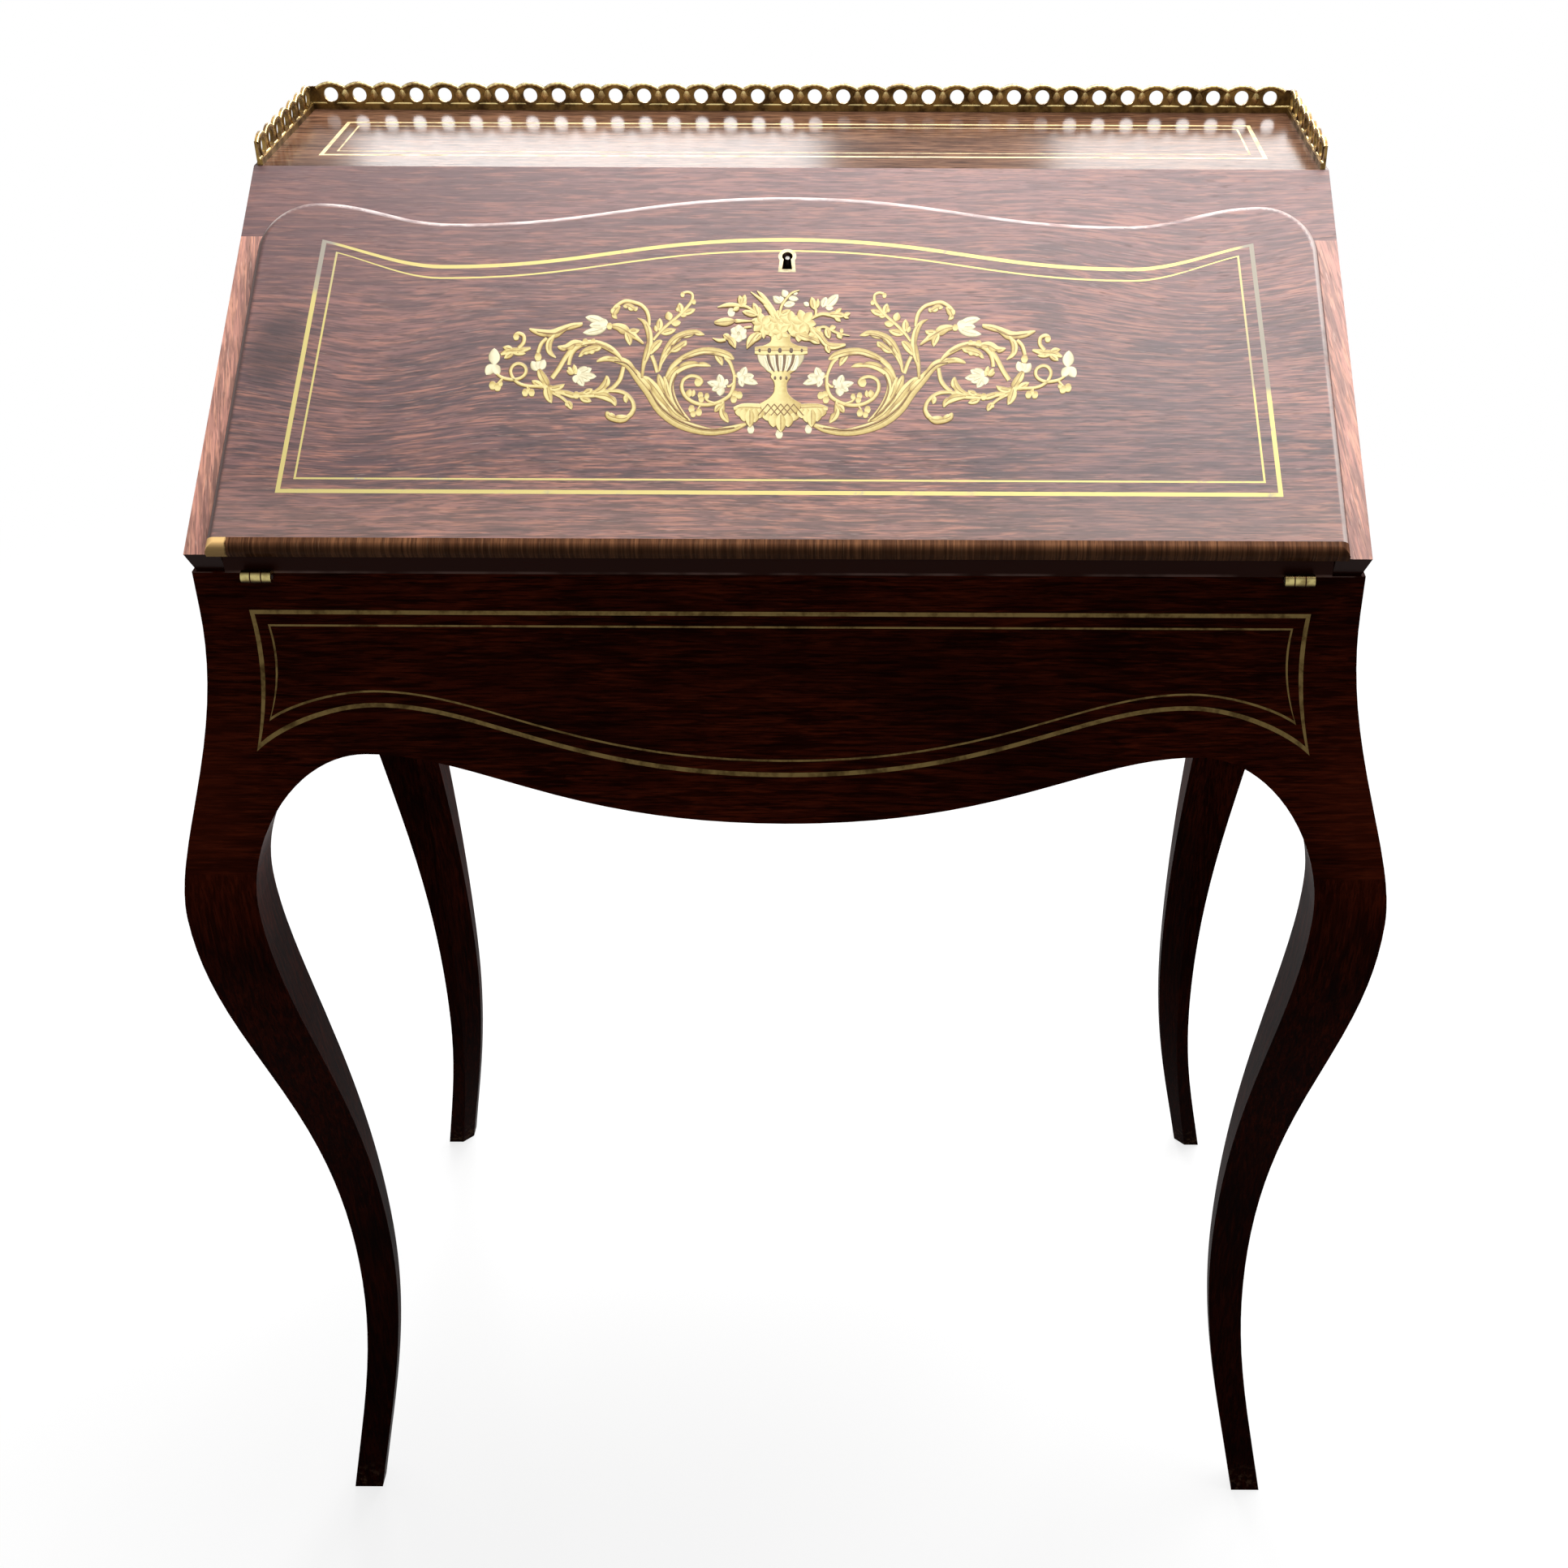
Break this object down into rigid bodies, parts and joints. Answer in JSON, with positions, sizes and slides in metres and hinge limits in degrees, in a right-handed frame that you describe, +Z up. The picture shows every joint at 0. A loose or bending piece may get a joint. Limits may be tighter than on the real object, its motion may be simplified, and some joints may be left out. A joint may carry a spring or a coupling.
{
  "type": "slant-front writing desk",
  "caption": "Lady's slant-front writing desk on cabriole legs: hinged inlaid flap on sliding stays, inner drawers and pigeonholes, pierced brass gallery round the top.",
  "frame": {"origin": "on the floor under the middle of the case", "axes": "+Z up, front facing -Y, +X to the right of someone who sits at it"},
  "size_m": [0.711, 0.431, 0.9263],
  "materials": {
    "rosewood_frame": "french polished, dark",
    "rosewood_flap": "french polished, streaked",
    "rosewood_crossband": "french polished, grain across",
    "rosewood_top": "french polished, glossy",
    "rosewood_side": "french polished, reddish",
    "interior_veneer": "waxed",
    "secondary_wood": "plain oak, unpolished",
    "leather": "tooled writing leather",
    "brass": "aged, lightly polished",
    "steel": "dull"
  },
  "bodies": {
    "case": {"apron_stringing": "brass", "back_apron": "rosewood_frame", "back_panel": "secondary_wood", "bed_bearers": "secondary_wood", "drawer_partitions": "interior_veneer", "drawer_shelf": "interior_veneer", "fascia_board": "rosewood_flap", "front_apron": "rosewood_frame", "gallery_back": "brass", "gallery_left": "brass", "gallery_pins": "brass", "gallery_right": "brass", "hinge_frame_leaf_left": "brass", "hinge_frame_leaf_right": "brass", "hinge_frame_screws": "steel", "hinge_pins": "steel", "leg_back_left": "rosewood_frame", "leg_back_right": "rosewood_frame", "leg_front_left": "rosewood_frame", "leg_front_right": "rosewood_frame", "lock_strike": "brass", "pigeonhole_dividers": "interior_veneer", "side_apron_left": "rosewood_frame", "side_apron_right": "rosewood_frame", "side_panel_left": "rosewood_side", "side_panel_right": "rosewood_side", "stay_studs": "brass", "top_board": "rosewood_top", "top_stringing": "brass", "writing_bed": "interior_veneer"},
    "flap": {"flap_escutcheon": "brass", "flap_leather": "leather", "flap_nosing": "rosewood_crossband", "flap_panel": "rosewood_flap", "flap_stringing": "brass", "lock_case": "steel", "lock_screws": "steel", "hinge_flap_leaf_left": "brass", "hinge_flap_leaf_right": "brass", "hinge_flap_screws": "steel", "stay_bracket_left": "brass", "stay_bracket_right": "brass", "stay_bracket_screws": "steel"},
    "lock_bolt": {"lock_bolt": "steel"},
    "stay_left": {"stay_left": "brass"},
    "stay_right": {"stay_right": "brass"},
    "drawer_left": {"drawer_left_back": "secondary_wood", "drawer_left_bottom": "secondary_wood", "drawer_left_front": "interior_veneer", "drawer_left_knob": "brass", "drawer_left_sides": "secondary_wood"},
    "drawer_right": {"drawer_right_back": "secondary_wood", "drawer_right_bottom": "secondary_wood", "drawer_right_front": "interior_veneer", "drawer_right_knob": "brass", "drawer_right_sides": "secondary_wood"}
  },
  "joints": [
    {"name": "flap_hinge", "type": "hinge", "parent": "case", "child": "flap", "pos_m": [0, -0.1889, 0.7527], "axis": [1, 0, 0], "range_deg": [0, 148.22]},
    {"name": "lock_bolt_slide", "type": "slide", "parent": "flap", "child": "lock_bolt", "axis": [0, 0.85, 0.5267], "range_m": [0, 0.007]},
    {"name": "stay_pivot_left", "type": "hinge", "parent": "flap", "child": "stay_left", "pos_m": [-0.2995, -0.12417, 0.77934], "axis": [1, 0, 0], "range_deg": [-74.31, 0]},
    {"name": "drawer_slide_left", "type": "slide", "parent": "case", "child": "drawer_left", "axis": [0, -1, 0], "range_m": [0, 0.085]},
    {"name": "stay_pivot_right", "type": "hinge", "parent": "flap", "child": "stay_right", "pos_m": [0.2995, -0.12417, 0.77934], "axis": [1, 0, 0], "range_deg": [-74.31, 0]},
    {"name": "drawer_slide_right", "type": "slide", "parent": "case", "child": "drawer_right", "axis": [0, -1, 0], "range_m": [0, 0.085]}
  ],
  "couplings": [
    {"joint": "stay_pivot_left", "follows": "flap_hinge", "ratio": -0.5},
    {"joint": "stay_pivot_right", "follows": "flap_hinge", "ratio": -0.5}
  ]
}
